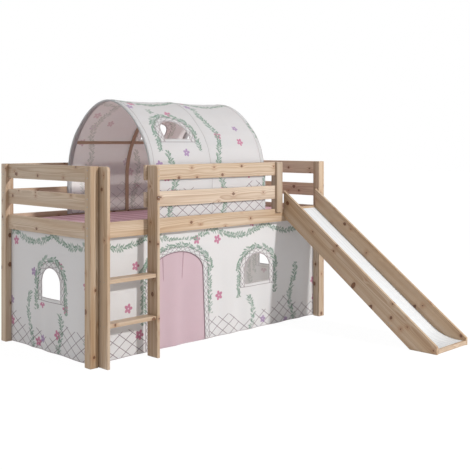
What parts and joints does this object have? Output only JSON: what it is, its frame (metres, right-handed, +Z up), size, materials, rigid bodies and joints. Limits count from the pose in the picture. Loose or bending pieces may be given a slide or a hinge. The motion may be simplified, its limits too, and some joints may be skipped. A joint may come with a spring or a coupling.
{
  "type": "low loft bed with slide",
  "caption": "Low wooden loft bed for a child, with a ladder and a slide on its front, a fabric tunnel above and curtains below.",
  "frame": {"origin": "middle of the footprint, slide included, on the floor", "axes": "+X to the right along the bed as seen from the slide's side, +Y from the slide towards the back of the bed, +Z up"},
  "size_m": [2.08, 2.187, 1.553],
  "materials": {
    "pine": "clear satin lacquer",
    "bent_wood": "plain bent laths",
    "white_laminate": "smooth white faced board",
    "mauve_pad_cloth": "striped woven cotton",
    "pale_cloth": "printed cotton",
    "pink_cloth": "plain cotton"
  },
  "bodies": {
    "bed": {"post_front_left": "pine", "post_front_right": "pine", "post_back_left": "pine", "post_back_right": "pine", "end_board_left_top": "pine", "end_board_left_middle": "pine", "end_board_left_low": "pine", "end_board_right_top": "pine", "end_board_right_middle": "pine", "end_board_right_low": "pine", "back_board_top": "pine", "back_board_middle": "pine", "back_board_low": "pine", "side_rail_front": "pine", "guard_post": "pine", "guard_board_top": "pine", "guard_board_middle": "pine", "ladder_side_left": "pine", "ladder_side_right": "pine", "rung_1": "pine", "rung_2": "pine", "slide_side_left": "pine", "slide_side_right": "pine", "slide_lip": "pine", "slide_batten_1": "pine", "slide_batten_2": "pine", "slide_batten_3": "pine", "ledger_front": "pine", "ledger_back": "pine", "slat_01": "pine", "slat_02": "pine", "slat_03": "pine", "slat_04": "pine", "slat_05": "pine", "slat_06": "pine", "slat_07": "pine", "slat_08": "pine", "slat_09": "pine", "slat_10": "pine", "slat_11": "pine", "slat_12": "pine", "slat_13": "pine", "hoop_1": "bent_wood", "hoop_2": "bent_wood", "hoop_3": "bent_wood", "purlin_front": "bent_wood", "purlin_back": "bent_wood", "slide_panel": "white_laminate", "mattress_pad": "mauve_pad_cloth", "tunnel_cover_left": "pale_cloth", "tunnel_cover_right": "pale_cloth", "curtain_left": "pale_cloth", "curtain_right": "pale_cloth", "curtain_front_left": "pale_cloth", "curtain_front_right": "pale_cloth"},
    "door_flap": {"door_flap": "pink_cloth"}
  },
  "joints": [
    {"name": "door_flap_swing", "type": "hinge", "parent": "bed", "child": "door_flap", "pos_m": [-0.3375, 0.1737, 0.611], "axis": [1, 0, 0], "range_deg": [0, 75]}
  ]
}
